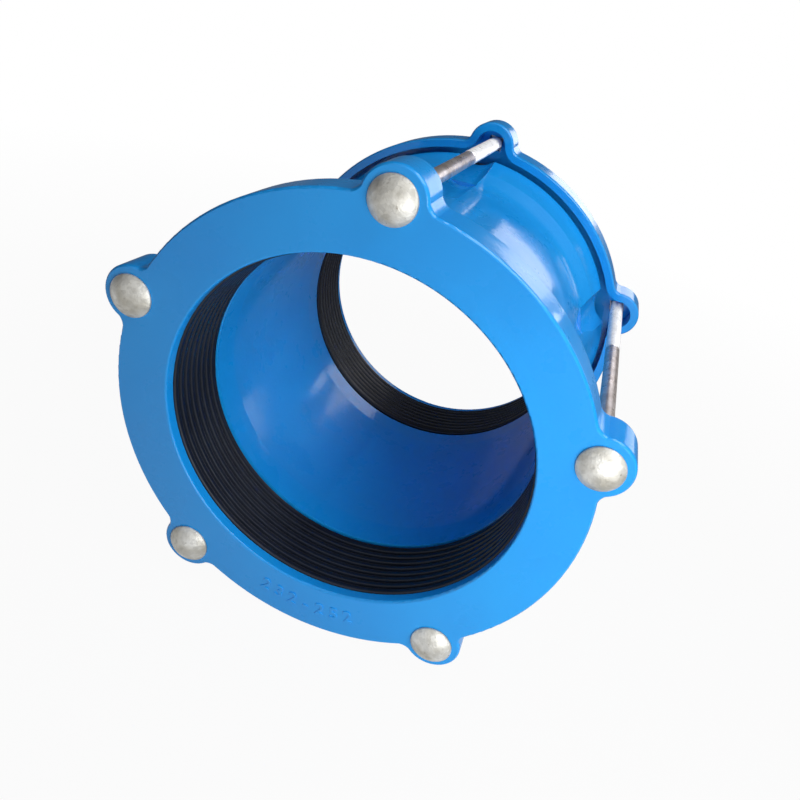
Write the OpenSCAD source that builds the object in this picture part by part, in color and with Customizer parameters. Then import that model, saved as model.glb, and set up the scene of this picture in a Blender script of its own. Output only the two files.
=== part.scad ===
// Flexible pipe coupling with two end rings, two wedge gaskets, a flared centre sleeve and five long bolts.
// The pipe axis lies along Y with the bolt heads at -Y, +Z is up through bolt 1, and the origin is the centre.

/* [Overall] */
// Length of the centre sleeve
sleeve_len = 241; // [226:1:250]
// Distance from each end of the sleeve to the outer face of its ring, bolts slack
ring_standoff = 28.5; // [26:0.5:36]
// Number of bolts and lugs
bolt_count = 5; // [4:1:6]
// Distance of the bolt circle inside the ring's rim
bolt_inset = 0.4; // [0:0.1:3]

/* [Centre sleeve] */
// Radius of the smooth bore
sleeve_bore_r = 127; // [120:0.5:134]
// Wall of the barrel between the flares
barrel_t = 11; // [9:0.5:13]
// Step from the bore out to the gasket seat at the flare's end
seat_step = 14; // [12.5:0.5:16]
// Thickness of the flare's rim outside the gasket seat
flare_wall = 16; // [14:0.5:18]
// Height of the flare's break line above the barrel
break_rise = 10.5; // [9:0.5:12]
// Distance of the break line from the flare's end
break_back = 25; // [20:1:32]
// Angle of the cone between the barrel and the break line
flare_angle = 29; // [22:1:38]
// Fillet between the barrel and the flare
flare_fillet_r = 34; // [15:1:50]
// Rounding of the flare's rim
flare_round = 3; // [1:0.5:4]
// Draft of the gasket seat, as rise of radius over its length
seat_draft = 6; // [4:0.5:8]
// Length of the gasket seat
seat_len = 30; // [26:1:34]
// Length of the step at the seat's inner end
shoulder_len = 2.5; // [1.5:0.5:6]
// Widening of the bore from its straight part to that step
bore_rise = 1.2; // [0.6:0.1:2.5]
// Length over which the bore widens
bore_taper_len = 21; // [14:1:28]
// Radius of the trough under each bolt
trough_r = 24; // [20:1:30]
// Height of the trough's floor above the gasket seat at the flare's end
trough_wall = 8; // [7:0.5:9]
// Distance of the bend in the trough's floor from the flare's end
trough_bend = 48; // [44:1:54]
// Depth of the trough in the barrel
trough_depth = 3; // [2:0.5:4]
// Distance of the trough's inner end from the middle of the sleeve
trough_end = 11; // [4:1:30]
// Turn of the sleeve about the pipe axis against the bolts
sleeve_turn = 3.5; // [0:0.5:8]

/* [End rings] */
// Radial play between the flare and the ring's skirt
skirt_play = 3.8; // [2:0.2:6]
// Thickness of the skirt wall
skirt_t = 7.6; // [6:0.2:9]
// Radial play between the largest pipe and the ring's bore
entry_play = 2.2; // [1.6:0.2:4]
// Thickness of the flat face plate
plate_t = 7.4; // [6:0.2:10]
// Depth of the ring from its face to the free edge of its skirt
ring_depth = 30; // [24:0.5:34]
// Radius of a lug about its bolt
lug_r = 21; // [18.5:0.5:24]
// Radius of the fillet between a lug and the rim
lug_fillet_r = 10; // [6:0.5:16]
// Bite of a fillet into the rim and the lug that it joins
fillet_bite = 0.15; // [0.08:0.01:0.3]
// Rounding of the rim's two outer edges
rim_round = 3; // [1:0.2:3.4]
// Angle at which that rounding runs out into the ring's faces
edge_angle = 30; // [20:1:40]
// Rounding of the bore's outer edge
bore_round = 1.6; // [0.6:0.2:3]

/* [Gaskets] */
// Play between the rib crests and the largest pipe
crest_play = 0.5; // [0.2:0.1:1.4]
// Height of the gasket's back above the mouth of its seat
heel_rise = 6; // [4:0.5:8]
// Length of the gasket's straight back
gasket_back_len = 9; // [6:0.5:10]
// Gap between a gasket and what it rests on
seat_gap = 0.3; // [0.2:0.05:0.6]
// Play of the slack gasket in the mouth of its seat
wedge_play = 2; // [1.6:0.2:3]
// Distance of the gasket's tip from the step at the seat's inner end
tip_gap = 1; // [0.5:0.1:2]
// Number of grooves in the gasket's inner face
groove_count = 7; // [4:1:8]
// Depth of a groove
groove_depth = 2.4; // [1:0.2:3.5]
// Width of a groove at its mouth
groove_w = 3.2; // [2:0.2:4]
// Distance of the first groove from the gasket's tip
groove_lead = 7; // [5:0.5:9]
// Distance of the last groove from the gasket's back
groove_tail = 5.3; // [4:0.1:7]

/* [Bolts, nuts and washers] */
// Thread diameter
bolt_d = 12; // [10:1:14]
// Length of thread that stands out of the nut, bolts slack
bolt_tail = 10.7; // [6:0.1:30]
// Length of the plain shank under the head
plain_len = 181; // [150:1:200]
// Diameter of the plain shank
shank_d = 11.6; // [10.6:0.1:12]
// Diameter of the domed head
head_d = 30.6; // [26:0.2:34]
// Height of the domed head
head_h = 8; // [6:0.2:10]
// Height of the straight edge of the head
head_edge = 1.2; // [0.6:0.1:2]
// Width of the square neck
neck_w = 12; // [10:0.5:14]
// Length of the square neck
neck_len = 6.4; // [4:0.2:8]
// Play of the neck in its square hole, each side
neck_play = 0.5; // [0.3:0.1:1]
// Width of the nut across its flats
nut_flats = 18; // [16:1:22]
// Height of the nut
nut_h = 10.8; // [8:0.2:12]
// Radial play between the nut and the thread
thread_play = 0.06; // [0.04:0.01:0.1]
// Outer diameter of the washer
washer_d = 24; // [22:1:30]
// Thickness of the washer
washer_t = 2.5; // [1.6:0.1:3]
// Play of the washer on the bolt, each side
washer_play = 0.5; // [0.3:0.1:1]

/* [Hidden] */
BOLTS = [1:bolt_count];

$fn = 96;
CUT = 1;
OVER = 2;
fillet_round_ratio = 1.15;
round_z = rim_round * cos(edge_angle);
overall_len = sleeve_len + 2 * ring_standoff;
half_len = overall_len / 2;
half_sleeve = sleeve_len / 2;
bolt_step = 360 / bolt_count;
blue = [0.10, 0.45, 0.80];
rubber = [0.10, 0.11, 0.13];
zinc = [0.80, 0.81, 0.80];

barrel_r = sleeve_bore_r + barrel_t;
seat_r = sleeve_bore_r + seat_step;
flare_r = seat_r + flare_wall;
ring_r = flare_r + skirt_play + skirt_t;
ring_bore_r = sleeve_bore_r + entry_play;
bolt_circle_r = ring_r - bolt_inset;
bolt_len = overall_len + washer_t + nut_h + bolt_tail;

break_r = barrel_r + break_rise;
break_y = half_sleeve - break_back;
cone_start_y = break_y - break_rise / tan(flare_angle);
seat_start_y = half_sleeve - seat_len;
shoulder_y = seat_start_y - shoulder_len;
bore_taper_y = shoulder_y - bore_taper_len;
trough_end_r = seat_r + trough_wall + trough_r;
trough_level_r = barrel_r - trough_depth + trough_r;

gasket_crest_r = sleeve_bore_r + crest_play;
gasket_back_r = seat_r + heel_rise;
gasket_back_y = half_len - plate_t - seat_gap;
gasket_tip_y = seat_start_y + tip_gap;
groove_pitch = (gasket_back_y - gasket_tip_y - groove_lead - groove_tail) / (groove_count - 1);
washer_y = half_len;
nut_y = washer_y + washer_t;

// Angle of bolt k about the pipe axis, bolt 1 at the top
function bolt_angle(k) = 90 + (k - 1) * bolt_step;

// Unit vector from a to b
function toward(a, b) = (b - a) / norm(b - a);

// Points of the arc that rounds the corner b of the path a, b, c with radius r
function corner(a, b, c, r, steps = 8) =
    let (
        u = toward(b, a),
        v = toward(b, c),
        half = acos(u * v) / 2,
        reach = r / tan(half),
        centre = b + toward([0, 0], u + v) * r / sin(half),
        p = b + u * reach - centre,
        q = b + v * reach - centre,
        sweep = acos(p * q / (r * r)),
        turn = sign(p[0] * q[1] - p[1] * q[0])
    )
    [for (i = [0:steps])
        let (s = turn * sweep * i / steps)
        centre + [p[0] * cos(s) - p[1] * sin(s), p[0] * sin(s) + p[1] * cos(s)]];

// Turns a profile of radius against Y about the pipe axis
module turned() {
    rotate([-90, 0, 0]) rotate_extrude($fn = 180) children();
}

// Places children at bolt k, with their own Z along the pipe axis
module at_bolt(k) {
    rotate([0, -bolt_angle(k), 0]) translate([bolt_circle_r, 0, 0]) rotate([-90, 0, 0]) children();
}

// Everything between the ring's two faces, out to beyond the lugs
module ring_slab() {
    cylinder(r = bolt_circle_r + 2 * lug_r, h = ring_depth);
}

// Disc of radius r with both outer edges rounded, running past the ring's faces
module rounded_disc(r) {
    rotate_extrude($fn = 180) {
        translate([0, -OVER]) square([r - rim_round, ring_depth + 2 * OVER]);
        translate([0, round_z]) square([r, ring_depth - 2 * round_z]);
        for (z = [round_z, ring_depth - round_z])
            translate([r - rim_round, z]) circle(rim_round, $fn = 32);
    }
}

// Cutter of radius r whose ends flare out to round the edges that it leaves
module flared_cutter(r) {
    q = rim_round * fillet_round_ratio;
    qz = q * cos(edge_angle);
    rotate_extrude($fn = 96) {
        translate([0, -2 * OVER]) square([r, ring_depth + 4 * OVER]);
        for (z = [0, ring_depth])
            difference() {
                translate([0, z == 0 ? -2 * OVER : z - qz]) square([r + q, qz + 2 * OVER]);
                translate([r + q, z == 0 ? qz : z - qz]) circle(q, $fn = 32);
            }
    }
}

// Place of the two fillets beside the lug at angle 0, a hair inside the tangent so that the faces cross
function fillet_reach() = ring_r + lug_fillet_r - fillet_bite;
function fillet_angle() =
    acos((pow(bolt_circle_r, 2) + pow(fillet_reach(), 2) - pow(lug_r + lug_fillet_r - fillet_bite, 2))
        / (2 * bolt_circle_r * fillet_reach()));
function fillet_centre(side) =
    fillet_reach() * [cos(side * fillet_angle()), sin(side * fillet_angle())];

// Wedge that fills the corner between rim and lug, running past the ring's faces
module gusset(side) {
    translate([0, 0, -OVER])
        linear_extrude(ring_depth + 2 * OVER)
            polygon([fillet_centre(side) / 2, fillet_centre(side), [bolt_circle_r, 0], [bolt_circle_r / 2, 0]]);
}

// Solid outline of a ring, rim and lugs, before it is hollowed
module ring_blank() {
    intersection() {
        ring_slab();
        union() {
            rounded_disc(ring_r);
            for (k = BOLTS)
                rotate([0, 0, bolt_angle(k)]) {
                    translate([bolt_circle_r, 0, 0]) rounded_disc(lug_r);
                    for (side = [-1, 1])
                        difference() {
                            gusset(side);
                            translate(concat(fillet_centre(side), [0])) flared_cutter(lug_fillet_r);
                        }
                }
        }
    }
}

// Hollow of the channel behind the plate
module ring_channel() {
    intersection() {
        translate([0, 0, plate_t]) ring_slab();
        union() {
            cylinder(r = ring_r - skirt_t, h = ring_depth + CUT, $fn = 180);
            for (k = BOLTS)
                rotate([0, 0, bolt_angle(k)]) {
                    translate([bolt_circle_r, 0, 0]) cylinder(r = lug_r - skirt_t, h = ring_depth + CUT);
                    for (side = [-1, 1])
                        difference() {
                            gusset(side);
                            translate(concat(fillet_centre(side), [-2 * OVER]))
                                cylinder(r = lug_fillet_r + skirt_t, h = ring_depth + 4 * OVER);
                        }
                }
        }
    }
}

// Bore through the plate, rounded at the outer face
module ring_bore() {
    rotate_extrude($fn = 180) {
        translate([0, -CUT]) square([ring_bore_r, plate_t + 2 * CUT]);
        difference() {
            translate([0, -CUT]) square([ring_bore_r + bore_round, bore_round + CUT]);
            translate([ring_bore_r + bore_round, bore_round]) circle(bore_round, $fn = 32);
        }
    }
}

// One end ring, its face at z = 0 and its channel open towards +Z
module end_ring() {
    hole_w = neck_w + 2 * neck_play;
    color(blue)
        difference() {
            ring_blank();
            ring_channel();
            ring_bore();
            for (k = BOLTS)
                rotate([0, 0, bolt_angle(k)])
                    translate([bolt_circle_r - hole_w / 2, -hole_w / 2, -CUT])
                        cube([hole_w, hole_w, plate_t + 2 * CUT]);
        }
}

module rear_ring() {
    translate([0, half_len, 0]) rotate([90, 0, 0]) end_ring();
}

module front_ring() {
    mirror([0, 1, 0]) rear_ring();
}

// Outer outline of the sleeve's wall from the middle to one end, then down to the seat
function flare_outline() = concat(
    corner([barrel_r, 0], [barrel_r, cone_start_y], [break_r, break_y], flare_fillet_r),
    corner([barrel_r, cone_start_y], [break_r, break_y], [flare_r, half_sleeve], flare_round * 3),
    corner([break_r, break_y], [flare_r, half_sleeve], [seat_r, half_sleeve], flare_round),
    [
        [seat_r, half_sleeve],
        [seat_r - seat_draft, seat_start_y],
        [sleeve_bore_r + bore_rise, shoulder_y],
        [sleeve_bore_r, bore_taper_y]
    ]
);

// Profile of the whole sleeve, the second end mirrored and run backwards
module sleeve_profile() {
    path = flare_outline();
    last = len(path) - 1;
    polygon(concat(path, [for (i = [0:last]) [path[last - i][0], -path[last - i][1]]]));
}

// Trough under one bolt: a floor that slopes down the flare, then runs level in the barrel to a ball end
module flare_trough() {
    bend_y = half_sleeve - trough_bend;
    fall_angle = atan((trough_end_r - trough_level_r) / trough_bend);
    ball_y = trough_end + sqrt(pow(trough_r, 2) - pow(trough_r - trough_depth, 2));
    translate([trough_level_r, bend_y, 0])
        rotate([-90, 0, -fall_angle]) cylinder(r = trough_r, h = trough_bend * 1.4, $fn = 44);
    translate([trough_level_r, ball_y, 0]) {
        sphere(trough_r, $fn = 44);
        rotate([-90, 0, 0]) cylinder(r = trough_r, h = bend_y - ball_y + 3 * OVER, $fn = 44);
    }
}

module centre_sleeve() {
    color(blue)
        difference() {
            turned() sleeve_profile();
            for (k = BOLTS, end = [0, 1])
                mirror([0, end, 0]) rotate([0, -bolt_angle(k) - sleeve_turn, 0]) flare_trough();
        }
}

// Profile of the rear gasket, ribbed towards the pipe and tapered towards the sleeve
module gasket_profile() {
    tip_r = seat_r - seat_draft * (1 - tip_gap / seat_len) - seat_gap;
    difference() {
        polygon(concat(
            corner([tip_r, gasket_tip_y], [gasket_crest_r, gasket_tip_y],
                [gasket_crest_r, gasket_back_y], 1, 4),
            corner([gasket_crest_r, gasket_tip_y], [gasket_crest_r, gasket_back_y],
                [gasket_back_r, gasket_back_y], 1.5, 4),
            corner([gasket_crest_r, gasket_back_y], [gasket_back_r, gasket_back_y],
                [gasket_back_r, gasket_tip_y], 1.5, 4),
            [
                [gasket_back_r, gasket_back_y - gasket_back_len],
                [seat_r - wedge_play, gasket_back_y - gasket_back_len - 1],
                [seat_r - wedge_play, half_sleeve],
                [tip_r, gasket_tip_y + 1],
                [tip_r - 1, gasket_tip_y]
            ]
        ));
        for (i = [1:groove_count])
            translate([gasket_crest_r, gasket_tip_y + groove_lead + (i - 1) * groove_pitch])
                polygon([
                    [-CUT, -groove_w / 2],
                    [0, -groove_w / 2],
                    [groove_depth, -groove_w / 4],
                    [groove_depth, groove_w / 4],
                    [0, groove_w / 2],
                    [-CUT, groove_w / 2]
                ]);
    }
}

module rear_gasket() {
    color(rubber) turned() gasket_profile();
}

module front_gasket() {
    mirror([0, 1, 0]) rear_gasket();
}

// Mushroom head, square neck and shank, the head's seat at z = 0 and the shank towards +Z
module cup_bolt() {
    dome_h = head_h - head_edge;
    dome_r = (pow(head_d / 2, 2) + pow(dome_h, 2)) / (2 * dome_h);
    end_chamfer = 1.5;
    color(zinc) {
        rotate_extrude($fn = 96) {
            translate([0, -head_edge]) square([head_d / 2, head_edge]);
            intersection() {
                translate([0, dome_r - head_h]) circle(dome_r, $fn = 180);
                translate([0, -head_h]) square([head_d / 2, dome_h]);
            }
        }
        translate([-neck_w / 2, -neck_w / 2, 0]) cube([neck_w, neck_w, neck_len]);
        rotate_extrude($fn = 64)
            polygon([
                [0, 0],
                [shank_d / 2, 0],
                [shank_d / 2, plain_len],
                [bolt_d / 2, plain_len + 1],
                [bolt_d / 2, bolt_len - end_chamfer],
                [bolt_d / 2 - end_chamfer, bolt_len],
                [0, bolt_len]
            ]);
    }
}

module bolt(k) {
    translate([0, -half_len, 0]) at_bolt(k) cup_bolt();
}

module washer(k) {
    translate([0, washer_y, 0]) at_bolt(k)
        color(zinc)
            difference() {
                cylinder(d = washer_d, h = washer_t);
                translate([0, 0, -CUT]) cylinder(r = bolt_d / 2 + washer_play, h = washer_t + 2 * CUT);
            }
}

// Hexagon nut with both corners chamfered and a bore that clears the thread
module nut(k) {
    corner_r = nut_flats / 2 / cos(30);
    chamfer = 1;
    translate([0, nut_y, 0]) at_bolt(k)
        color(zinc)
            difference() {
                intersection() {
                    cylinder(r = corner_r, h = nut_h, $fn = 6);
                    rotate_extrude($fn = 96)
                        polygon([
                            [0, 0],
                            [corner_r - chamfer * 1.4, 0],
                            [corner_r, chamfer],
                            [corner_r, nut_h - chamfer],
                            [corner_r - chamfer * 1.4, nut_h],
                            [0, nut_h]
                        ]);
                }
                translate([0, 0, -CUT])
                    cylinder(r = bolt_d / 2 + thread_play, h = nut_h + 2 * CUT, $fn = 64);
            }
}

centre_sleeve();
front_ring();
rear_ring();
front_gasket();
rear_gasket();
for (k = BOLTS) {
    bolt(k);
    washer(k);
    nut(k);
}
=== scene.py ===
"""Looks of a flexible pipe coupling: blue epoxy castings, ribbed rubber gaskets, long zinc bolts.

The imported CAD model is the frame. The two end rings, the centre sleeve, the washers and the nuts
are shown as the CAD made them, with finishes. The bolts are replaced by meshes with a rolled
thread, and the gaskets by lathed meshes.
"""

import logging
import math
from dataclasses import dataclass
from enum import Enum
from typing import Iterable, Sequence

import bmesh
import bpy
import numpy as np
from mathutils import Matrix, Vector


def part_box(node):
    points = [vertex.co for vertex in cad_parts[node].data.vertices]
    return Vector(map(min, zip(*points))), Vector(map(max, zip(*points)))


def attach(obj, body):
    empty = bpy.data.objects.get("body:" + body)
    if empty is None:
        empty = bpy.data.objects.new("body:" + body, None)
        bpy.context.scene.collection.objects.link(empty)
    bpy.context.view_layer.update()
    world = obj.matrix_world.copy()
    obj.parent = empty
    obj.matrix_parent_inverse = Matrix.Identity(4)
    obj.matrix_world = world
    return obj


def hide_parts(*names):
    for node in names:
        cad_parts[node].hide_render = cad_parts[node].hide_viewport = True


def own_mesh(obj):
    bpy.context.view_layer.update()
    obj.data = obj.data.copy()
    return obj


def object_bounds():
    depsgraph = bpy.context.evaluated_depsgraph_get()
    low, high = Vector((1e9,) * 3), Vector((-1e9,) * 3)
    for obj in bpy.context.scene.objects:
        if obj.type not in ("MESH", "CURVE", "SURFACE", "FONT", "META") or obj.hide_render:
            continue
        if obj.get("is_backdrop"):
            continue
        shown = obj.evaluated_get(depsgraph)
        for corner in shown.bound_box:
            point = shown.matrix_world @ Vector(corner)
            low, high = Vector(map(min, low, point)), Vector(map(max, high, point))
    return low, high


logging.basicConfig(level=logging.INFO, format="%(levelname)s %(name)s: %(message)s")
LOG = logging.getLogger("coupling")

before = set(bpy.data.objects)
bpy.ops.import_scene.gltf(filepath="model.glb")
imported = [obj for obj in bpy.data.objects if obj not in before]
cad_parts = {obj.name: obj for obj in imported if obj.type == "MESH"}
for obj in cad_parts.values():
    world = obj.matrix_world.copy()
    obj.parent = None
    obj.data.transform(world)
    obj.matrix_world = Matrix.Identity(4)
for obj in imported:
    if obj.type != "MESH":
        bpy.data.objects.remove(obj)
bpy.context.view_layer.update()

Colour = tuple[float, float, float]
Place = tuple[float, float, float]
Point = tuple[float, float]
Socket = bpy.types.NodeSocket

WHITE: Colour = (1.0, 1.0, 1.0)
BOLT_COUNT = 5


class Finish(Enum):
    """Finishes of the visible surfaces."""

    EPOXY = "epoxy_blue"
    RUBBER = "rubber_black"
    ZINC_HEAD = "zinc_head"
    ZINC_SHANK = "zinc_shank"
    ZINC_THREAD = "zinc_thread"
    ZINC_NUT = "zinc_nut"
    FLOOR = "floor_pale"


class End(Enum):
    """The two ends of the coupling, as the sign of Y."""

    FRONT = -1
    REAR = 1


# Node trees

# A mix node has sockets of the same name for each kind of data, so the colours go by number
MIX_A = 6
MIX_B = 7
MIX_RESULT = 2


class Graph:
    """Adds nodes and links to one node tree."""

    def __init__(self, tree: bpy.types.NodeTree) -> None:
        self.tree = tree

    def node(self, kind: str, **settings: object) -> bpy.types.Node:
        """Adds a node.

        Args:
            kind: Blender's node type.
            settings: Attributes of the node.

        Returns:
            The new node.
        """
        made = self.tree.nodes.new(kind)
        for key, value in settings.items():
            setattr(made, key, value)
        return made

    def link(self, a: Socket, b: Socket) -> None:
        """Links output a to input b."""
        self.tree.links.new(a, b)

    def feed(self, slot: Socket, value: Socket | float | Colour) -> None:
        """Gives an input its value.

        Args:
            slot: The input.
            value: Socket to link, or the number or colour to set.
        """
        if isinstance(value, Socket):
            self.link(value, slot)
        else:
            slot.default_value = (*value, 1.0) if isinstance(value, tuple) else value

    def calc(self, operation: str, a: Socket, b: Socket | float, **settings: object) -> Socket:
        """Adds a math node of two values.

        Args:
            operation: Blender's name of the operation.
            a: First value.
            b: Second value.
            settings: Other attributes of the node.

        Returns:
            The result.
        """
        made = self.node("ShaderNodeMath", operation=operation, **settings)
        for slot, value in zip(made.inputs, (a, b)):
            self.feed(slot, value)
        return made.outputs[0]

    def ramp(self, value: Socket, *limits: Socket | float) -> Socket:
        """Carries a value from one range to another, and holds it at the ends.

        Args:
            value: The value.
            limits: Start and end of the first range, then what they become.

        Returns:
            The value in the second range.
        """
        made = self.node("ShaderNodeMapRange")
        names = ("Value", "From Min", "From Max", "To Min", "To Max")
        for name, given in zip(names, (value, *limits)):
            self.feed(made.inputs[name], given)
        return made.outputs["Result"]

    def mix(
        self, share: Socket | float, a: Socket, b: Socket | Colour, blend_type: str = "MIX"
    ) -> Socket:
        """Mixes two colours.

        Args:
            share: Share of the second colour.
            a: First colour.
            b: Second colour.
            blend_type: Blender's name of the way to mix.

        Returns:
            The mixed colour.
        """
        made = self.node("ShaderNodeMix", data_type="RGBA", blend_type=blend_type)
        self.feed(made.inputs["Factor"], share)
        self.feed(made.inputs[MIX_A], a)
        self.feed(made.inputs[MIX_B], b)
        return made.outputs[MIX_RESULT]

    def choose(self, share: Socket, a: Socket, b: Socket) -> Socket:
        """Mixes two shaders, where a share of 1 gives the second."""
        made = self.node("ShaderNodeMixShader")
        for slot, value in zip(made.inputs, (share, a, b)):
            self.link(value, slot)
        return made.outputs["Shader"]

    def glow(self, strength: Socket | float) -> Socket:
        """Adds a white glow of the given strength."""
        made = self.node("ShaderNodeEmission")
        self.feed(made.inputs["Color"], WHITE)
        self.feed(made.inputs["Strength"], strength)
        return made.outputs["Emission"]

    def place(self, kind: str = "Object") -> Socket:
        """Coordinates of the shaded point."""
        return self.node("ShaderNodeTexCoord").outputs[kind]

    def noise(self, scale: Socket, detail: float, rough: float) -> Socket:
        """Adds noise in the object's own space.

        Args:
            scale: Its scale.
            detail: Octaves.
            rough: Weight of the finer octaves.

        Returns:
            The noise, about 0.5.
        """
        made = self.node("ShaderNodeTexNoise")
        self.feed(made.inputs["Vector"], self.place())
        self.feed(made.inputs["Scale"], scale)
        self.feed(made.inputs["Detail"], detail)
        self.feed(made.inputs["Roughness"], rough)
        return made.outputs["Fac"]

    def is_seen(self) -> Socket:
        """Mask that is 1 for the camera's own rays."""
        return self.node("ShaderNodeLightPath").outputs["Is Camera Ray"]

    def is_seen_or_mirrored(self) -> Socket:
        """Mask that is 1 for the camera's own rays and for mirrored or refracted ones."""
        path = self.node("ShaderNodeLightPath")
        mask = path.outputs["Is Camera Ray"]
        for name in ("Is Glossy Ray", "Is Transmission Ray"):
            mask = self.calc("MAXIMUM", mask, path.outputs[name])
        return mask

    def use(self, shared: bpy.types.NodeTree, **values: float | Colour) -> Socket:
        """Adds a use of a shared effect.

        Args:
            shared: The effect's nodes.
            values: Its inputs, with an underscore for a space in a name.

        Returns:
            Its one output.
        """
        made = self.node("ShaderNodeGroup", node_tree=shared)
        for key, value in values.items():
            self.feed(made.inputs[key.replace("_", " ")], value)
        return made.outputs[0]


class Effect(Graph):
    """A shared node group with named inputs and one output.

    A socket whose name starts with Colour carries a colour, and any other carries a number.
    """

    def __init__(self, name: str, output: str, inputs: Sequence[str]) -> None:
        """Starts the group.

        Args:
            name: Name of the group.
            output: Name of its output.
            inputs: Names of its inputs. Each use of the group sets them all.
        """
        super().__init__(bpy.data.node_groups.new(name, "ShaderNodeTree"))
        sockets = [(given, "INPUT") for given in inputs] + [(output, "OUTPUT")]
        for label, way in sockets:
            kind = "NodeSocketColor" if label.startswith("Colour") else "NodeSocketFloat"
            self.tree.interface.new_socket(name=label, in_out=way, socket_type=kind)
        self.given = self.node("NodeGroupInput").outputs
        self.exit = self.node("NodeGroupOutput")

    def done(self, result: Socket) -> bpy.types.NodeTree:
        """Gives the group its result and returns its nodes."""
        self.link(result, self.exit.inputs[0])
        return self.tree


class Effects:
    """The shared effects, each made once."""

    NOISE_MIDDLE = 0.5
    NOISE_SPAN = (0.3, 0.7)
    SPECK_EDGE = 0.09

    def __init__(self) -> None:
        self.drift = self._drift()
        self.spread = self._spread()
        self.skin = self._skin()
        self.specks = self._specks()
        self.spangle = self._spangle()

    def _drift(self) -> bpy.types.NodeTree:
        """Colour that wanders slowly between two colours."""
        g = Effect("colour_drift", "Colour", ("Colour A", "Colour B", "Scale", "Contrast"))
        noise = g.noise(g.given["Scale"], detail=3.0, rough=0.55)
        centred = g.calc("SUBTRACT", noise, self.NOISE_MIDDLE)
        spread = g.calc("MULTIPLY", centred, g.given["Contrast"])
        share = g.calc("ADD", spread, self.NOISE_MIDDLE, use_clamp=True)
        return g.done(g.mix(share, g.given["Colour A"], g.given["Colour B"]))

    def _spread(self) -> bpy.types.NodeTree:
        """Value that wanders between two limits."""
        g = Effect("value_spread", "Value", ("Low", "High", "Scale"))
        noise = g.noise(g.given["Scale"], detail=4.0, rough=0.6)
        return g.done(g.ramp(noise, *self.NOISE_SPAN, g.given["Low"], g.given["High"]))

    def _skin(self) -> bpy.types.NodeTree:
        """Height of a coated casting: slow waves of the sand mould under a fine orange peel."""
        g = Effect("coated_skin", "Height", ("Wave Scale", "Peel Scale", "Peel Share"))
        wave = g.noise(g.given["Wave Scale"], detail=2.0, rough=0.5)
        peel = g.noise(g.given["Peel Scale"], detail=1.0, rough=0.4)
        return g.done(g.calc("ADD", wave, g.calc("MULTIPLY", peel, g.given["Peel Share"])))

    def _specks(self) -> bpy.types.NodeTree:
        """Mask of scattered dark specks, 1 inside a speck."""
        g = Effect("specks", "Mask", ("Scale", "Amount"))
        noise = g.noise(g.given["Scale"], detail=5.0, rough=0.7)
        inside = g.calc("SUBTRACT", g.given["Amount"], self.SPECK_EDGE)
        return g.done(g.ramp(noise, inside, g.given["Amount"], 1.0, 0.0))

    def _spangle(self) -> bpy.types.NodeTree:
        """Spangle of a hot-dipped surface: a shade of its own for each crystal."""
        g = Effect("spangle", "Shade", ("Scale",))
        cells = g.node("ShaderNodeTexVoronoi")
        g.feed(cells.inputs["Vector"], g.place())
        g.feed(cells.inputs["Scale"], g.given["Scale"])
        split = g.node("ShaderNodeSeparateColor")
        g.link(cells.outputs["Color"], split.inputs["Color"])
        return g.done(split.outputs["Red"])


# Finishes


@dataclass(frozen=True)
class Surface:
    """Numbers of one finish.

    Attributes:
        light: Lighter base colour.
        dark: Darker base colour.
        drift_scale: Scale of the drift between the two, per metre.
        rough: Lowest and highest roughness.
        rough_scale: Scale of the roughness, per metre.
        drift_contrast: How far the drift runs towards either colour.
        metallic: Metallic share.
        specks: Amount of dark specks on a metal.
        coat: Weight of the clear coat.
        coat_rough: Roughness of the clear coat.
        specular: Specular level of the base.
        ior: Index of refraction of the base.
        wave: Scale of the slow waves, per metre.
        peel: Scale of the fine texture, per metre.
        peel_share: Height of the fine texture against the waves.
        bump: Height of the texture in metres.
    """

    light: Colour
    dark: Colour
    drift_scale: float
    rough: tuple[float, float]
    rough_scale: float
    drift_contrast: float = 1.6
    metallic: float = 0.0
    specks: float = 0.35
    coat: float = 0.0
    coat_rough: float = 0.05
    specular: float = 0.5
    ior: float = 1.5
    wave: float = 22.0
    peel: float = 330.0
    peel_share: float = 0.16
    bump: float = 0.0004


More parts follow.
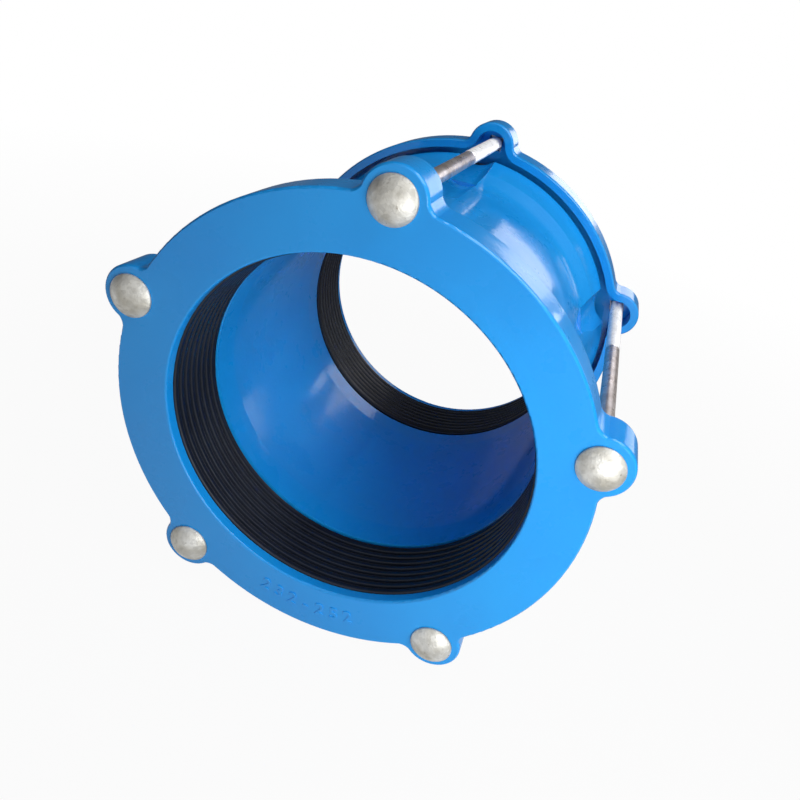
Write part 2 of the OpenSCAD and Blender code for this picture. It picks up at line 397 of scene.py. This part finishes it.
SURFACES: dict[Finish, Surface] = {
    Finish.EPOXY: Surface(
        light=(0.012, 0.405, 0.97), dark=(0.008, 0.320, 0.88), drift_scale=7.0,
        drift_contrast=1.4, rough=(0.24, 0.34), rough_scale=35.0, coat=0.60, coat_rough=0.09,
        specular=0.16, ior=1.42,
    ),
    Finish.RUBBER: Surface(
        light=(0.010, 0.015, 0.028), dark=(0.006, 0.009, 0.018), drift_scale=30.0,
        drift_contrast=2.2, rough=(0.30, 0.42), rough_scale=90.0, specular=0.30, wave=60.0,
        peel=900.0, peel_share=0.3, bump=0.0002,
    ),
    Finish.ZINC_HEAD: Surface(
        light=(0.76, 0.76, 0.73), dark=(0.44, 0.42, 0.36), drift_scale=62.0,
        drift_contrast=2.8, rough=(0.42, 0.58), rough_scale=200.0, metallic=0.7, specks=0.375,
        wave=150.0, peel=900.0, peel_share=0.35, bump=0.0005,
    ),
    Finish.ZINC_SHANK: Surface(
        light=(0.78, 0.72, 0.70), dark=(0.42, 0.35, 0.31), drift_scale=70.0,
        drift_contrast=2.4, rough=(0.24, 0.42), rough_scale=220.0, metallic=0.6, wave=90.0,
        peel=900.0, peel_share=0.3, bump=0.0002,
    ),
    Finish.ZINC_THREAD: Surface(
        light=(0.98, 0.98, 0.98), dark=(0.85, 0.86, 0.88), drift_scale=90.0,
        rough=(0.26, 0.40), rough_scale=240.0, metallic=0.7, specks=0.31, wave=90.0,
        peel=900.0, peel_share=0.3, bump=0.0001,
    ),
    Finish.ZINC_NUT: Surface(
        light=(0.84, 0.85, 0.85), dark=(0.60, 0.61, 0.62), drift_scale=110.0,
        drift_contrast=1.8, rough=(0.25, 0.42), rough_scale=240.0, metallic=0.9, wave=120.0,
        peel=900.0, peel_share=0.3, bump=0.0002,
    ),
    Finish.FLOOR: Surface(
        light=(0.38, 0.38, 0.38), dark=(0.36, 0.36, 0.36), drift_scale=2.0, rough=(0.7, 0.8),
        rough_scale=8.0, wave=4.0, peel=60.0, bump=0.0001,
    ),
}


@dataclass(frozen=True)
class FloorLook:
    """How the floor looks to the camera and in mirrored rays.

    Attributes:
        white: Share of plain white that the camera sees near the object.
        fade: Distances from the middle between which that share grows to 1.
        mirrored_y: Places along Y between which the painted reflection changes.
        painted_reflection_tone: Painted reflection of the floor before the object and behind it;
            the dark tone behind is painted shade.
    """

    white: float = 0.95
    fade: tuple[float, float] = (0.45, 1.3)
    mirrored_y: tuple[float, float] = (-0.2, 0.15)
    # Painted reflection of the floor: bright before the object, dark behind it as painted shade
    painted_reflection_tone: tuple[float, float] = (0.90, 0.12)


class Palette:
    """Makes and keeps the material of each finish."""

    SPANGLE_SCALE = 300.0
    SPANGLE_SHADE = (0.82, 1.0)
    SPECK_SCALE = 330.0
    SPECK_COLOUR: Colour = (0.20, 0.17, 0.12)

    def __init__(self) -> None:
        self._effects = Effects()
        self._made: dict[Finish, bpy.types.Material] = {}

    def get(self, finish: Finish) -> bpy.types.Material:
        """Material of a finish, made at its first use.

        Args:
            finish: The finish.

        Returns:
            The material.
        """
        if finish not in self._made:
            self._made[finish] = self._build(finish, SURFACES[finish])
        return self._made[finish]

    def _build(self, finish: Finish, s: Surface) -> bpy.types.Material:
        """Builds one finish from its numbers."""
        material = bpy.data.materials.new(finish.value)
        material.use_nodes = True
        g = Graph(material.node_tree)
        shader = g.tree.nodes["Principled BSDF"]
        colour = g.use(
            self._effects.drift, Colour_A=s.light, Colour_B=s.dark,
            Scale=s.drift_scale, Contrast=s.drift_contrast,
        )
        if s.metallic > 0:
            colour = self._mottled(g, colour, s.specks)
        low, high = s.rough
        values = {
            "Base Color": colour,
            "Roughness": g.use(self._effects.spread, Low=low, High=high, Scale=s.rough_scale),
            "Metallic": s.metallic,
            "Coat Weight": s.coat,
            "Coat Roughness": s.coat_rough,
            "Specular IOR Level": s.specular,
            "IOR": s.ior,
            "Normal": self._relief(g, s),
        }
        if s.coat > 0:
            values["Coat Normal"] = values["Normal"]
        for name, value in values.items():
            g.feed(shader.inputs[name], value)
        if finish is Finish.FLOOR:
            self._whiten(g, shader.outputs["BSDF"], FloorLook())
        return material

    def _relief(self, g: Graph, s: Surface) -> Socket:
        """Normal of a surface with its texture."""
        bump = g.node("ShaderNodeBump")
        height = g.use(
            self._effects.skin, Wave_Scale=s.wave, Peel_Scale=s.peel, Peel_Share=s.peel_share
        )
        for name, value in (("Strength", 1.0), ("Distance", s.bump), ("Height", height)):
            g.feed(bump.inputs[name], value)
        return bump.outputs["Normal"]

    def _mottled(self, g: Graph, colour: Socket, specks: float) -> Socket:
        """Lays spangle and dark specks over a metal's colour."""
        crystals = g.use(self._effects.spangle, Scale=self.SPANGLE_SCALE)
        shade = g.ramp(crystals, 0.0, 1.0, *self.SPANGLE_SHADE)
        shaded = g.mix(1.0, colour, shade, "MULTIPLY")
        mask = g.use(self._effects.specks, Scale=self.SPECK_SCALE, Amount=specks)
        return g.mix(mask, shaded, self.SPECK_COLOUR)

    @staticmethod
    def _whiten(g: Graph, lit: Socket, look: FloorLook) -> None:
        """Shows the floor as near white to the camera, with a trace of the object's shadow.

        Mirrored rays see a painted reflection in place of the lit floor: a glow that is bright
        before the object and dark behind it, the dark part painted shade. All other rays meet the
        lit floor.

        Args:
            g: The floor material's nodes.
            lit: The floor's own shader.
            look: Numbers of the look.
        """
        away = g.node("ShaderNodeVectorMath", operation="LENGTH")
        g.link(g.place(), away.inputs[0])
        white_share = g.ramp(away.outputs["Value"], *look.fade, look.white, 1.0)
        split = g.node("ShaderNodeSeparateXYZ")
        g.link(g.place(), split.inputs["Vector"])
        # Painted reflection: mirrored rays see a glow, bright before the object and dark behind it
        # as painted shade
        tone = g.ramp(split.outputs["Y"], *look.mirrored_y, *look.painted_reflection_tone)
        mirrored = g.choose(g.is_seen_or_mirrored(), lit, g.glow(tone))
        seen = g.choose(white_share, lit, g.glow(1.0))
        surface = g.choose(g.is_seen(), mirrored, seen)
        g.link(surface, g.tree.nodes["Material Output"].inputs["Surface"])


# Mesh helpers

AXIS_R = 1e-9
MERGE_DIST = 1e-6


def ring_point(radius: float, y: float, step: int, steps: int) -> Place:
    """Point on a ring about the Y axis, counted from +X towards +Z."""
    a = 2 * math.pi * step / steps
    return (radius * math.cos(a), y, radius * math.sin(a))


class MeshMaker:
    """Collects vertices and faces, and turns them into an object."""

    def __init__(self) -> None:
        self.verts: list[Place] = []
        self.faces: list[tuple[int, ...]] = []
        self.slots: list[int] = []

    def face(self, corners: tuple[int, ...], slot: int) -> None:
        """Adds one face.

        Args:
            corners: Numbers of its vertices.
            slot: Its material slot.
        """
        self.faces.append(corners)
        self.slots.append(slot)

    def turned(
        self, profile: Sequence[Point], segments: int, slot: int = 0, closed: bool = False
    ) -> None:
        """Adds a surface turned about the Y axis.

        Args:
            profile: Points of radius and Y. A radius of 0 closes the surface with a fan.
            segments: Steps round the axis.
            slot: Material slot of the faces.
            closed: True where the last point joins the first.
        """
        rings: list[list[int]] = []
        for radius, y in profile:
            base = len(self.verts)
            if radius < AXIS_R:
                self.verts.append((0.0, y, 0.0))
                rings.append([base] * segments)
                continue
            self.verts += [ring_point(radius, y, i, segments) for i in range(segments)]
            rings.append(list(range(base, base + segments)))
        pairs = list(zip(rings, rings[1:])) + ([(rings[-1], rings[0])] if closed else [])
        for near, far in pairs:
            for i in range(segments):
                j = (i + 1) % segments
                corners = tuple(dict.fromkeys((near[i], far[i], far[j], near[j])))
                if len(corners) >= 3:
                    self.face(corners, slot)

    def box(self, low: Sequence[float], high: Sequence[float], slot: int = 0) -> None:
        """Adds a box that is open at its low Y end.

        Args:
            low: Lowest corner.
            high: Highest corner.
            slot: Material slot of the faces.
        """
        base = len(self.verts)
        outline = ((low[0], low[2]), (high[0], low[2]), (high[0], high[2]), (low[0], high[2]))
        self.verts += [(x, y, z) for y in (low[1], high[1]) for x, z in outline]
        count = len(outline)
        for i in range(count):
            j = (i + 1) % count
            self.face((base + i, base + j, base + count + j, base + count + i), slot)
        self.face(tuple(range(base + count, base + 2 * count)), slot)

    def build(
        self, name: str, materials: Iterable[bpy.types.Material], sharp_deg: float = 35.0
    ) -> bpy.types.Object:
        """Makes the object.

        Args:
            name: Name of the piece.
            materials: Its material slots in order.
            sharp_deg: Edges sharper than this stay sharp.

        Returns:
            The object, linked to the scene.
        """
        mesh = bpy.data.meshes.new(name)
        mesh.from_pydata(self.verts, [], self.faces)
        for polygon, slot in zip(mesh.polygons, self.slots):
            polygon.material_index = slot
        work = bmesh.new()
        work.from_mesh(mesh)
        bmesh.ops.remove_doubles(work, verts=work.verts, dist=MERGE_DIST)
        bmesh.ops.recalc_face_normals(work, faces=work.faces)
        work.to_mesh(mesh)
        work.free()
        mesh.shade_smooth()
        mesh.set_sharp_from_angle(angle=math.radians(sharp_deg))
        for material in materials:
            mesh.materials.append(material)
        made = bpy.data.objects.new(name, mesh)
        bpy.context.scene.collection.objects.link(made)
        return made


def rounded(path: Sequence[Point], radii: dict[int, float], steps: int) -> list[Point]:
    """Rounds chosen corners of a closed path.

    Args:
        path: Corners of the closed path.
        radii: Radius for each corner to be rounded, by index.
        steps: Steps of each arc.

    Returns:
        The points of the rounded path.
    """
    points: list[Point] = []
    count = len(path)
    for i, here in enumerate(path):
        if i not in radii:
            points.append(here)
            continue
        r = radii[i]
        b = np.array(here)
        u = np.array(path[i - 1]) - b
        v = np.array(path[(i + 1) % count]) - b
        u, v = u / np.linalg.norm(u), v / np.linalg.norm(v)
        half = math.acos(float(np.clip(u @ v, -1, 1))) / 2
        reach = r / math.tan(half)
        centre = b + (u + v) / np.linalg.norm(u + v) * r / math.sin(half)
        p, q = b + u * reach - centre, b + v * reach - centre
        a0, a1 = math.atan2(p[1], p[0]), math.atan2(q[1], q[0])
        turn = (a1 - a0 + math.pi) % (2 * math.pi) - math.pi
        for k in range(steps + 1):
            a = a0 + turn * k / steps
            x, y = centre[0] + r * math.cos(a), centre[1] + r * math.sin(a)
            points.append((float(x), float(y)))
    return points


# Pieces


@dataclass(frozen=True)
class BoltShape:
    """Sizes of one mushroom-head bolt, in metres.

    Attributes:
        head_r: Radius of the head.
        head_h: Height of the head.
        head_edge: Height of the straight edge under the dome.
        neck_half: Half the width of the square neck.
        neck_len: Length of the square neck.
        shank_r: Radius of the plain shank.
        plain_len: From the head's seat to the thread.
        taper_lead: How far before the thread the shank starts to narrow.
        taper_tail: How far past the thread's start it reaches the root.
        thread_r: Outer radius of the thread.
        pitch: Pitch of the thread.
        end_chamfer: Chamfer at the tip.
    """

    head_r: float = 0.0153
    head_h: float = 0.008
    head_edge: float = 0.0012
    neck_half: float = 0.006
    neck_len: float = 0.0064
    shank_r: float = 0.0058
    plain_len: float = 0.181
    taper_lead: float = 0.002
    taper_tail: float = 0.0006
    thread_r: float = 0.006
    pitch: float = 0.00175
    end_chamfer: float = 0.0015


class Bolt:
    """A mushroom-head square-neck bolt with a rolled thread on its rear part."""

    SEGMENTS = 28
    HEAD_SEGMENTS = 64
    DOME_STEPS = 22
    # Corners of the head as radius and Y from the sharp corner: under the dome, and at the seat
    DOME_CORNER = ((-0.00012, -0.0002), (0.0, 0.0003))
    SEAT_CORNER = ((0.0, -0.0003), (-0.0004, 0.0))
    # One turn of the thread: share of the pitch, and 1 at the crest or 0 at the root
    ROWS = ((0.0, 1.0), (0.125, 1.0), (0.4375, 0.0), (0.6875, 0.0))
    DEPTH_PER_PITCH = 0.6134
    RUN_IN_TURNS = 1.5
    SHANK_SLOT = 1
    THREAD_SLOT = 2

    def __init__(self, number: int, shape: BoltShape, palette: Palette) -> None:
        self.number = number
        self.shape = shape
        self.palette = palette
        low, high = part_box(f"bolt_{number}")
        self.x = (low[0] + high[0]) / 2
        self.z = (low[2] + high[2]) / 2
        self.seat = low[1] + shape.head_h
        self.tip = high[1]
        self.core = shape.thread_r - self.DEPTH_PER_PITCH * shape.pitch

    def build(self) -> bpy.types.Object:
        """Builds the bolt and puts it in its CAD node's place.

        Returns:
            The piece.
        """
        maker = MeshMaker()
        self._head(maker)
        self._shank(maker)
        self._thread(maker, self.seat + self.shape.plain_len)
        finishes = (Finish.ZINC_HEAD, Finish.ZINC_SHANK, Finish.ZINC_THREAD)
        piece = maker.build(f"bolt_{self.number}_looks", [self.palette.get(f) for f in finishes])
        piece.data.transform(Matrix.Translation((self.x, 0.0, self.z)))
        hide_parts(f"bolt_{self.number}")
        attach(piece, "front_ring")
        return piece

    def _head(self, maker: MeshMaker) -> None:
        """Adds the domed head with a softened edge."""
        s = self.shape
        dome_h = s.head_h - s.head_edge
        dome_r = (s.head_r ** 2 + dome_h ** 2) / (2 * dome_h)
        rim_angle = math.asin(s.head_r / dome_r)
        crown = self.seat - s.head_h
        edge = self.seat - s.head_edge
        angles = [rim_angle * k / self.DOME_STEPS for k in range(self.DOME_STEPS)]
        profile = [(dome_r * math.sin(a), crown + dome_r * (1 - math.cos(a))) for a in angles]
        profile += [(s.head_r + dr, edge + dy) for dr, dy in self.DOME_CORNER]
        profile += [(s.head_r + dr, self.seat + dy) for dr, dy in self.SEAT_CORNER]
        profile.append((0.0, self.seat))
        maker.turned(profile, self.HEAD_SEGMENTS)

    def _shank(self, maker: MeshMaker) -> None:
        """Adds the square neck and the plain shank down to the thread's root."""
        s = self.shape
        neck_end = self.seat + s.neck_len
        end = self.seat + s.plain_len
        maker.box((-s.neck_half, self.seat, -s.neck_half), (s.neck_half, neck_end, s.neck_half))
        profile = [
            (s.shank_r, neck_end), (s.shank_r, end - s.taper_lead), (self.core, end + s.taper_tail)
        ]
        maker.turned(profile, self.SEGMENTS, slot=self.SHANK_SLOT)

    def _thread(self, maker: MeshMaker, start: float) -> None:
        """Adds the helical thread from start to the bolt's tip.

        Args:
            maker: Mesh to add to.
            start: Y where the thread begins.
        """
        s = self.shape
        depth = s.thread_r - self.core
        tip_r = s.thread_r - s.end_chamfer
        turns = math.ceil((self.tip - start) / s.pitch) + 1
        rows = [(turn + part, high) for turn in range(-1, turns + 1) for part, high in self.ROWS]
        base = len(maker.verts)
        for phase, high in rows:
            for i in range(self.SEGMENTS):
                y = start + s.pitch * (phase + i / self.SEGMENTS)
                run_in = min(1.0, max(0.0, (y - start) / (self.RUN_IN_TURNS * s.pitch)))
                chamfer = tip_r + max(0.0, self.tip - y)
                radius = min(self.core + depth * high, self.core + depth * run_in, chamfer)
                y = min(max(y, start), self.tip)
                maker.verts.append(ring_point(radius, y, -i, self.SEGMENTS))
        per_turn = len(self.ROWS)

        def at(row: int, i: int) -> int:
            """Vertex of a row, which goes on one turn later past its last step."""
            turn, step = divmod(i, self.SEGMENTS)
            return base + (row + turn * per_turn) * self.SEGMENTS + step

        for r in range(len(rows) - per_turn - 1):
            for i in range(self.SEGMENTS):
                corners = (at(r, i), at(r + 1, i), at(r + 1, i + 1), at(r, i + 1))
                maker.face(corners, self.THREAD_SLOT)
        maker.turned([(tip_r, self.tip), (0.0, self.tip)], self.SEGMENTS, slot=self.THREAD_SLOT)


@dataclass(frozen=True)
class GasketShape:
    """Sizes of one gasket, in metres; lengths run from its tip towards the ring.

    Attributes:
        crest_r: Radius of the ribs' crests.
        back_r: Outer radius at the ring.
        back_len: Length of that wide part, from the ring.
        mouth_r: Outer radius in the sleeve's mouth.
        mouth_at: Where the mouth's cone begins.
        tip_r: Outer radius at the tip.
        groove_count: Number of grooves.
        groove_lead: From the tip to the middle of the first groove.
        groove_tail: From the middle of the last groove to the ring.
        groove_depth: Depth of a groove.
        groove_w: Width of a groove at its top.
        chamfer: Size of the small chamfers on the outside.
        tip_round: Radius of the inner corner at the tip.
        back_round: Radius of both corners at the ring.
    """

    crest_r: float = 0.1275
    back_r: float = 0.147
    back_len: float = 0.009
    mouth_r: float = 0.139
    mouth_at: float = 0.029
    tip_r: float = 0.1349
    groove_count: int = 7
    groove_lead: float = 0.007
    groove_tail: float = 0.0053
    groove_depth: float = 0.0024
    groove_w: float = 0.0032
    chamfer: float = 0.001
    tip_round: float = 0.0010
    back_round: float = 0.0015


class Gasket:
    """A wedge gasket with ribs on its inner face."""

    SEGMENTS = 192
    SHARP_DEG = 50.0
    ARC_STEPS = 3
    # Corners of a groove: place in its width, share of its depth, radius
    GROOVE = ((-0.5, 0, 0.0006), (-0.25, 1, 0.0004), (0.25, 1, 0.0004), (0.5, 0, 0.0006))

    def __init__(self, end: End, shape: GasketShape, palette: Palette) -> None:
        self.end = end
        self.shape = shape
        self.palette = palette
        self.name = f"{end.name.lower()}_gasket"
        low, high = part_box(self.name)
        self.tip, self.back = (low[1], high[1]) if end is End.REAR else (-high[1], -low[1])

    def build(self) -> bpy.types.Object:
        """Builds the gasket and puts it in its CAD node's place.

        Returns:
            The piece.
        """
        profile = [(r, y * self.end.value) for r, y in self._profile()]
        maker = MeshMaker()
        maker.turned(profile, self.SEGMENTS, closed=True)
        rubber = self.palette.get(Finish.RUBBER)
        piece = maker.build(f"{self.name}_looks", [rubber], self.SHARP_DEG)
        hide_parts(self.name)
        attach(piece, "sleeve")
        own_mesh(piece)
        return piece

    def _profile(self) -> list[Point]:
        """Closed profile of radius and distance along +Y."""
        s = self.shape
        length = self.back - self.tip
        pitch = (length - s.groove_lead - s.groove_tail) / (s.groove_count - 1)
        path: list[Point] = [(s.crest_r, self.tip)]
        radii: dict[int, float] = {0: s.tip_round}
        for i in range(s.groove_count):
            y = self.tip + s.groove_lead + i * pitch
            for across, deep, radius in self.GROOVE:
                radii[len(path)] = radius
                path.append((s.crest_r + s.groove_depth * deep, y + across * s.groove_w))
        for corner_r in (s.crest_r, s.back_r):
            radii[len(path)] = s.back_round
            path.append((corner_r, self.back))
        wide_end = self.back - s.back_len
        path += [
            (s.back_r, wide_end),
            (s.mouth_r, wide_end - s.chamfer),
            (s.mouth_r, self.tip + s.mouth_at),
            (s.tip_r, self.tip + s.chamfer),
            (s.tip_r - s.chamfer, self.tip),
        ]
        return rounded(path, radii, self.ARC_STEPS)


class Numerals:
    """Plain raised numerals cast on the front ring's face, read round its foot."""

    TEXT = "232-252"
    HEIGHT = 0.0105
    PITCH = 0.0112
    RELIEF = 0.0006
    RADIUS = 0.1485
    MIDDLE_DEG = 270.4
    FONT_SIZE_PER_HEIGHT = 1.4
    EDGE_SHARE = 0.4
    EDGE_STEPS = 2
    CURVE_STEPS = 6

    def __init__(self, palette: Palette) -> None:
        self.palette = palette
        self.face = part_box("front_ring")[0][1]

    def build(self) -> bpy.types.Object:
        """Builds the row of numerals.

        Returns:
            The piece.
        """
        joined = bmesh.new()
        middle = (len(self.TEXT) - 1) / 2
        for i, character in enumerate(self.TEXT):
            step = (i - middle) * self.PITCH / self.RADIUS
            mesh = self._character(character)
            mesh.transform(self._place(math.radians(self.MIDDLE_DEG) + step))
            joined.from_mesh(mesh)
            bpy.data.meshes.remove(mesh)
        made = bpy.data.meshes.new("face_numerals")
        joined.to_mesh(made)
        joined.free()
        made.materials.append(self.palette.get(Finish.EPOXY))
        piece = bpy.data.objects.new("face_numerals", made)
        bpy.context.scene.collection.objects.link(piece)
        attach(piece, "front_ring")
        return piece

    def _character(self, character: str) -> bpy.types.Mesh:
        """Makes one character as a mesh with softened edges.

        Args:
            character: The character.

        Returns:
            Its mesh, centred, in the XY plane with its relief along +Z.
        """
        curve = bpy.data.curves.new("character", "FONT")
        curve.body = character
        curve.size = self.HEIGHT * self.FONT_SIZE_PER_HEIGHT
        curve.align_x = "CENTER"
        curve.align_y = "CENTER"
        curve.extrude = self.RELIEF * (1 - self.EDGE_SHARE)
        curve.bevel_depth = self.RELIEF * self.EDGE_SHARE
        curve.bevel_resolution = self.EDGE_STEPS
        curve.resolution_u = self.CURVE_STEPS
        holder = bpy.data.objects.new("character", curve)
        bpy.context.scene.collection.objects.link(holder)
        bpy.context.view_layer.update()
        solid = holder.evaluated_get(bpy.context.evaluated_depsgraph_get())
        mesh = bpy.data.meshes.new_from_object(solid)
        bpy.data.objects.remove(holder)
        bpy.data.curves.remove(curve)
        return mesh

    def _place(self, angle: float) -> Matrix:
        """Pose of one character on the face.

        Args:
            angle: Angle round the axis, from +X towards +Z.

        Returns:
            The pose, with the character's foot away from the axis.
        """
        across = Vector((-math.sin(angle), 0.0, math.cos(angle)))
        upward = Vector((-math.cos(angle), 0.0, -math.sin(angle)))
        out = across.cross(upward)
        spot = Vector((self.RADIUS * math.cos(angle), self.face, self.RADIUS * math.sin(angle)))
        return Matrix.Translation(spot) @ Matrix((across, upward, out)).transposed().to_4x4()


class Coupling:
    """Puts the finishes on the CAD nodes and builds the pieces that replace the others."""

    NODE_FINISH: dict[str, Finish] = {
        "centre_sleeve": Finish.EPOXY,
        "front_ring": Finish.EPOXY,
        "rear_ring": Finish.EPOXY,
        **{f"washer_{k}": Finish.ZINC_NUT for k in range(1, BOLT_COUNT + 1)},
        **{f"nut_{k}": Finish.ZINC_NUT for k in range(1, BOLT_COUNT + 1)},
    }

    def __init__(self, palette: Palette) -> None:
        self.palette = palette

    def build(self) -> None:
        """Builds every piece."""
        for name, finish in self.NODE_FINISH.items():
            self._paint(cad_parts[name], self.palette.get(finish))
        makers: list[Bolt | Gasket | Numerals] = [
            *(Bolt(k, BoltShape(), self.palette) for k in range(1, BOLT_COUNT + 1)),
            *(Gasket(end, GasketShape(), self.palette) for end in End),
            Numerals(self.palette),
        ]
        pieces = [maker.build() for maker in makers]
        LOG.info("built %d pieces", len(pieces))

    @staticmethod
    def _paint(node: bpy.types.Object, material: bpy.types.Material) -> None:
        """Puts one material in every slot of a CAD node."""
        if not node.material_slots:
            node.data.materials.append(material)
        for slot in node.material_slots:
            slot.material = material


# Studio


@dataclass(frozen=True)
class View:
    """Camera of the photograph.

    Attributes:
        place: Where the camera stands.
        right: Its direction to the right.
        up: Its direction upwards.
        focal_px: Focal length in pixels.
        centre_px: Principal point in pixels, from the top left.
        image_px: Side of the square image in pixels.
        sensor_mm: Width of the sensor.
        near: Nearest distance that is shown, in metres.
    """

    place: Place = (0.1029, -0.4981, 0.2683)
    right: Place = (0.9355, 0.2530, 0.2467)
    up: Place = (-0.3267, 0.3532, 0.8767)
    focal_px: float = 668.7
    centre_px: Point = (452.3, 325.1)
    image_px: float = 800.0
    sensor_mm: float = 36.0
    near: float = 0.01


@dataclass(frozen=True)
class Lamp:
    """One soft area light.

    Attributes:
        name: Name of the light.
        place: Where it stands.
        size: Width and height.
        power: Power in watts.
        colour: Colour of the light.
        aim: Point it is turned to.
        spread_deg: Full angle of its beam.
    """

    name: str
    place: Place
    size: tuple[float, float]
    power: float
    colour: Colour = WHITE
    aim: Place = (0.0, 0.0, 0.0)
    spread_deg: float = 180.0


LAMPS = (
    Lamp("key", (0.33, -0.48, 0.07), (0.36, 0.40), 1.85),
    Lamp("top", (0.55, -0.10, 0.95), (0.7, 0.6), 6.2),
    Lamp(
        "bore", (0.38, -0.52, 0.30), (0.08, 0.08), 0.014, aim=(-0.10, 0.02, -0.08), spread_deg=16.0
    ),
    Lamp("window_wide", (0.33, 1.20, 0.33), (0.42, 0.42), 1.25, (1.0, 0.97, 1.0)),
    Lamp("window_tall", (0.725, 0.82, 0.195), (0.12, 0.60), 0.40),
    Lamp("strip", (0.571, 1.051, 0.249), (0.02, 0.10), 0.05),
)


@dataclass(frozen=True)
class Room:
    """The room round the object.

    Attributes:
        soft_colour: Colour of the even light.
        soft_strength: Strength of the even light.
        bright_side: Direction of the room's bright side, as mirrored rays see it.
        bright_span: Cosines to that direction between which the room grows bright.
        mirror_low: Brightness of the rest of the room in mirrored rays.
        floor_half: Half the width of the floor.
    """

    soft_colour: Colour = (0.86, 0.86, 1.0)
    soft_strength: float = 0.18
    bright_side: Place = (0.36, -0.76, 0.45)
    bright_span: tuple[float, float] = (0.1, 0.6)
    mirror_low: float = 0.06
    floor_half: float = 8.0


class Studio:
    """Floor, lights, world and camera."""

    def __init__(self, palette: Palette, room: Room) -> None:
        self.palette = palette
        self.room = room

    def build(self) -> None:
        """Builds the whole studio."""
        self._floor()
        self._world()
        for lamp in LAMPS:
            self._lamp(lamp)
        self._camera(View())
        bpy.context.scene.view_settings.view_transform = "Standard"

    def _floor(self) -> None:
        """Adds a wide pale floor under the object."""
        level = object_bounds()[0][2]
        half = self.room.floor_half
        maker = MeshMaker()
        corners = ((-half, -half), (half, -half), (half, half), (-half, half))
        maker.verts = [(x, y, level) for x, y in corners]
        maker.face((0, 1, 2, 3), 0)
        maker.build("floor", [self.palette.get(Finish.FLOOR)])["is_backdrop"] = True

    def _world(self) -> None:
        """Lights the scene evenly and shows white behind the object.

        Mirrored rays see a room that is bright on one side and dim elsewhere.
        """
        room = self.room
        world = bpy.data.worlds.new("studio")
        bpy.context.scene.world = world
        world.use_nodes = True
        g = Graph(world.node_tree)
        soft = g.tree.nodes["Background"]
        g.feed(soft.inputs["Color"], room.soft_colour)
        g.feed(soft.inputs["Strength"], room.soft_strength)
        facing = g.node("ShaderNodeVectorMath", operation="DOT_PRODUCT")
        g.link(g.place("Generated"), facing.inputs[0])
        facing.inputs[1].default_value = Vector(room.bright_side).normalized()
        rise = g.ramp(facing.outputs["Value"], *room.bright_span, room.mirror_low, 1.0)
        white = g.node("ShaderNodeBackground")
        g.feed(white.inputs["Color"], WHITE)
        g.feed(white.inputs["Strength"], g.calc("MAXIMUM", g.is_seen(), rise))
        lights = (soft.outputs["Background"], white.outputs["Background"])
        surface = g.choose(g.is_seen_or_mirrored(), *lights)
        g.link(surface, g.tree.nodes["World Output"].inputs["Surface"])

    @staticmethod
    def _lamp(lamp: Lamp) -> None:
        """Adds one area light."""
        data = bpy.data.lights.new(lamp.name, "AREA")
        data.shape = "RECTANGLE"
        data.size, data.size_y = lamp.size
        data.energy = lamp.power
        data.color = lamp.colour
        data.spread = math.radians(lamp.spread_deg)
        made = bpy.data.objects.new(lamp.name, data)
        made.location = lamp.place
        back = Vector(lamp.place) - Vector(lamp.aim)
        made.rotation_euler = back.to_track_quat("Z", "Y").to_euler()
        bpy.context.scene.collection.objects.link(made)

    @staticmethod
    def _camera(view: View) -> None:
        """Adds the camera and points it as the photograph was taken."""
        data = bpy.data.cameras.new("photo_view")
        data.sensor_fit = "HORIZONTAL"
        data.sensor_width = view.sensor_mm
        data.lens = view.focal_px / view.image_px * data.sensor_width
        half = view.image_px / 2
        data.shift_x = (half - view.centre_px[0]) / view.image_px
        data.shift_y = (view.centre_px[1] - half) / view.image_px
        data.clip_start = view.near
        right = Vector(view.right).normalized()
        up = Vector(view.up)
        up = (up - right * up.dot(right)).normalized()
        back = right.cross(up)
        turn = Matrix((right, up, back)).transposed().to_4x4()
        made = bpy.data.objects.new("photo_view", data)
        made.matrix_world = Matrix.Translation(view.place) @ turn
        bpy.context.scene.collection.objects.link(made)
        bpy.context.scene.camera = made


def main() -> None:
    """Builds the scene."""
    palette = Palette()
    Coupling(palette).build()
    Studio(palette, Room()).build()


if __name__ == "__main__":
    main()
